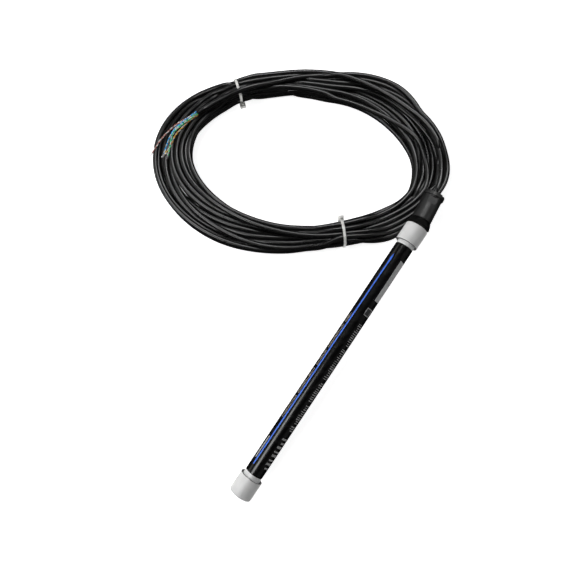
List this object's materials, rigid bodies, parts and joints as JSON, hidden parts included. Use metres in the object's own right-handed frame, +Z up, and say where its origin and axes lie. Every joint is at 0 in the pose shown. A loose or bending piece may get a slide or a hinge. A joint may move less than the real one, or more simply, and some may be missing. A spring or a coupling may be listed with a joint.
{
  "type": "buried vehicle sensing probe",
  "caption": "Capped plastic tube probe with a black wrap label, a cable gland at its head and a coiled black lead with stripped twisted pairs.",
  "frame": {"origin": "under the middle of the probe's length to within 2 mm, on the surface it lies on", "axes": "+X along the probe from nose cap to cable gland, +Z up; the probe's axis climbs 2.8 degrees because its head lies on the coiled lead"},
  "size_m": [0.5155, 0.3452, 0.0466],
  "materials": {
    "cap_white": "moulded white PVC, faint satin",
    "pipe_white": "extruded white PVC",
    "label_film": "glossy black printed film",
    "gland_nylon": "black moulded nylon, satin",
    "seal_rubber": "soft black rubber",
    "cable_jacket": "black polyethylene cable jacket, satin",
    "tie_nylon": "natural nylon",
    "wire_blue": "blue and white-blue insulation",
    "wire_orange": "orange and white-orange insulation",
    "wire_green": "green and white-green insulation",
    "wire_brown": "brown and white-brown insulation",
    "tinned_copper": "bright bare conductor",
    "board_green": "green solder mask",
    "chip_black": "black moulded epoxy",
    "part_tan": "ceramic chip body",
    "can_metal": "plated metal can",
    "solder": "solder",
    "ferrite": "sintered ferrite",
    "former_nylon": "natural nylon former",
    "copper_wire": "enamelled copper wire",
    "potting": "cast epoxy",
    "foam": "closed-cell foam"
  },
  "bodies": {
    "probe": {"end_cap": "cap_white", "head_cap": "cap_white", "body_tube": "pipe_white", "label_sleeve": "label_film", "sealing_washer": "seal_rubber", "gland_body": "gland_nylon", "gland_grommet": "seal_rubber", "cable_tail": "cable_jacket", "potting_plug": "potting", "inner_cable_tie": "tie_nylon", "circuit_board": "board_green", "microcontroller": "chip_black", "amplifier_chips": "chip_black", "voltage_regulator": "chip_black", "crystal": "can_metal", "chip_capacitors": "part_tan", "chip_resistors": "chip_black", "surge_arrestors": "part_tan", "solder_joints": "solder", "board_wires": "copper_wire", "sensor_core": "ferrite", "coil_former": "former_nylon", "sense_winding": "copper_wire", "drive_winding": "copper_wire", "centring_rings": "foam", "coil_leads": "copper_wire", "nose_cushion": "foam", "board_cushions": "foam", "cable_run": "cable_jacket", "cable_coil": "cable_jacket", "cable_end": "cable_jacket", "pair_brown": "wire_brown", "pair_blue": "wire_blue", "pair_green": "wire_green", "pair_orange": "wire_orange", "copper_tips": "tinned_copper", "cable_tie_1": "tie_nylon", "cable_tie_2": "tie_nylon"},
    "slip_ring": {"gland_slip_ring": "gland_nylon"},
    "clamping_nut": {"gland_nut": "gland_nylon"}
  },
  "joints": [
    {"name": "nut_advance", "type": "slide", "parent": "probe", "child": "slip_ring", "axis": [0.9942, 0.0958, 0.0486], "range_m": [0, 0.0046]},
    {"name": "nut_turn", "type": "hinge", "parent": "slip_ring", "child": "clamping_nut", "pos_m": [0.18961, 0.00259, 0.03288], "axis": [0.9942, 0.0958, 0.0486], "range_deg": [0, 1080]}
  ],
  "couplings": [
    {"joint": "nut_advance", "follows": "nut_turn", "m_per_rad": 0.00023873}
  ]
}
